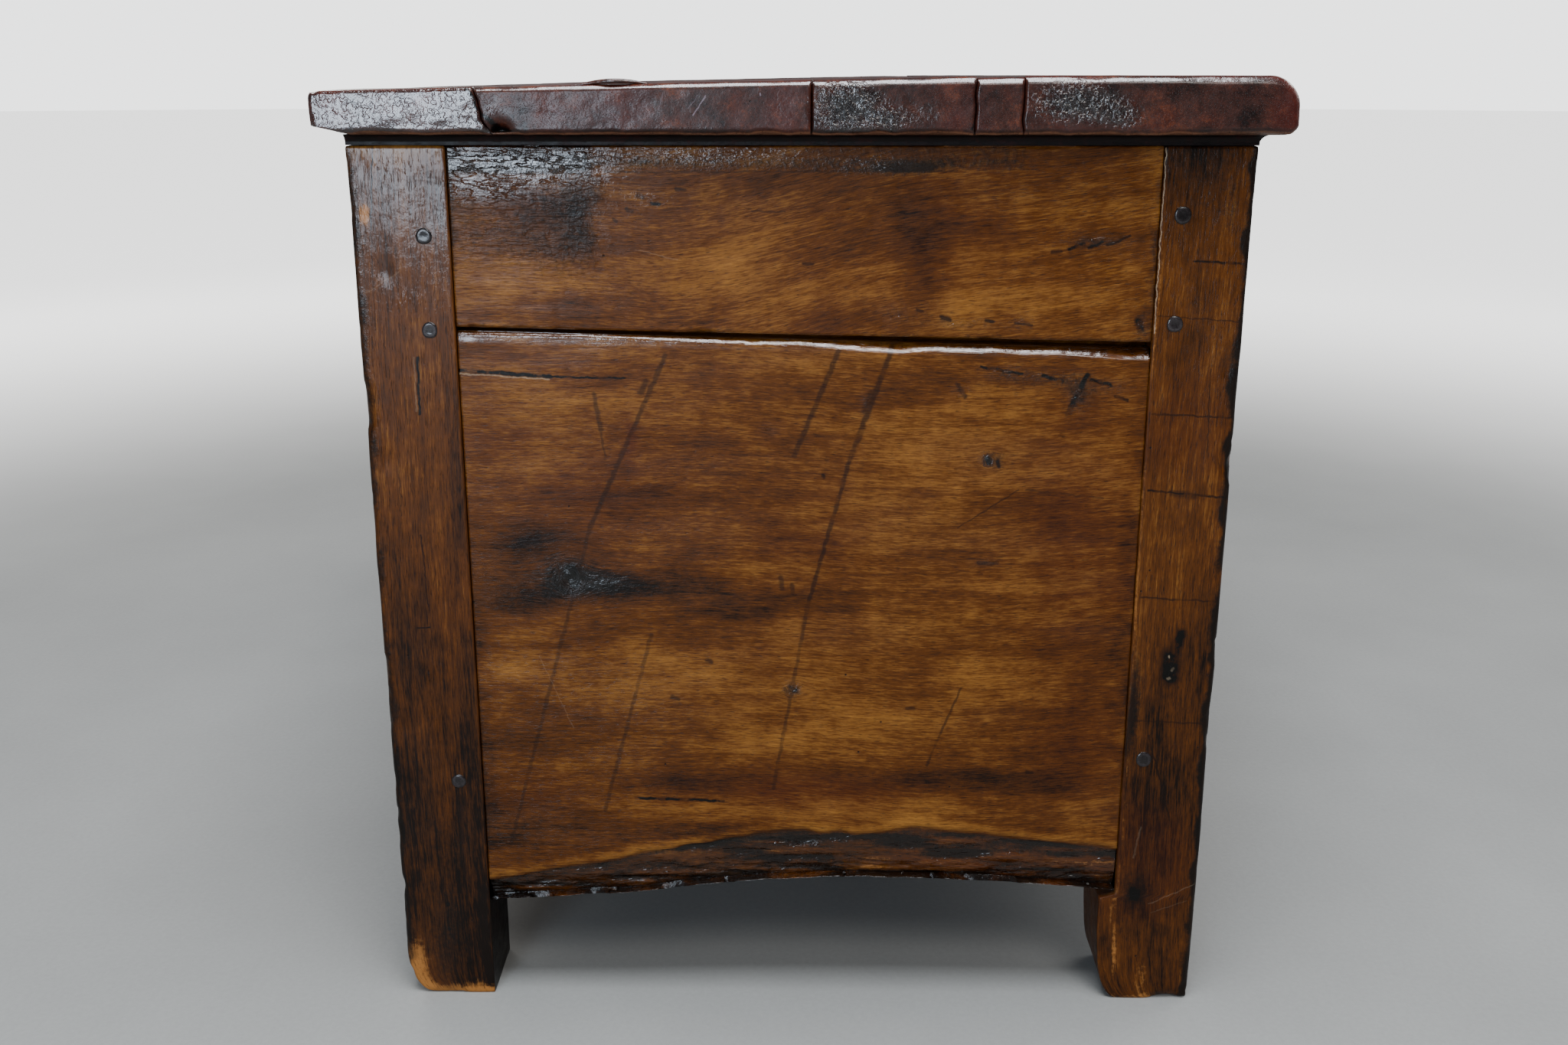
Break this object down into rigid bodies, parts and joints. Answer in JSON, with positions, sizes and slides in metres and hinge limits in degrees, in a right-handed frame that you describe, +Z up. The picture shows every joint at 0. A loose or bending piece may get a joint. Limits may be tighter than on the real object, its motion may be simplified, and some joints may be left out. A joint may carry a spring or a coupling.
{
  "type": "cassone",
  "caption": "Joined walnut chest with corner posts that run down as feet, pegged boards with arched lower edges, a hinged plank lid with a rounded front edge, a till and a box lock.",
  "frame": {"origin": "on the floor, under the middle of the lid", "axes": "+X along the chest, from its left end to its right end as seen from the front; +Y from the front to the back; +Z up"},
  "size_m": [1.106, 0.5716, 0.6128],
  "materials": {
    "case_walnut": "waxed, glossy",
    "lid_walnut": "waxed, very glossy",
    "inner_walnut": "bare, dry",
    "peg_wood": "dark, dull",
    "wrought_iron": "forged, dark"
  },
  "bodies": {
    "case": {"back_board": "case_walnut", "back_rail": "case_walnut", "back_strap_nails": "wrought_iron", "end_board_left": "case_walnut", "end_board_right": "case_walnut", "end_rail_left": "case_walnut", "end_rail_right": "case_walnut", "floor_board_back": "inner_walnut", "floor_board_front": "inner_walnut", "floor_board_middle": "inner_walnut", "floor_ledger_back": "inner_walnut", "floor_ledger_front": "inner_walnut", "floor_ledger_left": "inner_walnut", "floor_ledger_right": "inner_walnut", "floor_nails": "wrought_iron", "front_board": "case_walnut", "front_rail": "case_walnut", "hinge_left_back_strap": "wrought_iron", "hinge_left_pin": "wrought_iron", "hinge_right_back_strap": "wrought_iron", "hinge_right_pin": "wrought_iron", "lock_case": "wrought_iron", "lock_nails": "wrought_iron", "lock_plate": "wrought_iron", "pegs_back": "peg_wood", "pegs_end_left": "peg_wood", "pegs_end_right": "peg_wood", "pegs_front": "peg_wood", "post_back_left": "case_walnut", "post_back_right": "case_walnut", "post_front_left": "case_walnut", "post_front_right": "case_walnut", "till_floor": "inner_walnut", "till_side": "inner_walnut"},
    "lid": {"hinge_left_lid_strap": "wrought_iron", "hinge_right_lid_strap": "wrought_iron", "lid_iron_nails": "wrought_iron", "lid_moulding_front": "lid_walnut", "lid_moulding_left": "lid_walnut", "lid_moulding_right": "lid_walnut", "lid_plank_back": "lid_walnut", "lid_plank_front": "lid_walnut", "lid_plank_narrow": "lid_walnut", "lid_plank_wide": "lid_walnut", "lid_repair_strip": "lid_walnut", "lid_staple": "wrought_iron", "lid_strip_back": "lid_walnut"},
    "bolt": {"lock_bolt": "wrought_iron"}
  },
  "joints": [
    {"name": "lid_hinge", "type": "hinge", "parent": "case", "child": "lid", "pos_m": [0, 0.27775, 0.57], "axis": [-1, 0, 0], "range_deg": [0, 100]},
    {"name": "lock_bolt_slide", "type": "slide", "parent": "case", "child": "bolt", "axis": [1, 0, 0], "range_m": [0, 0.016]}
  ]
}
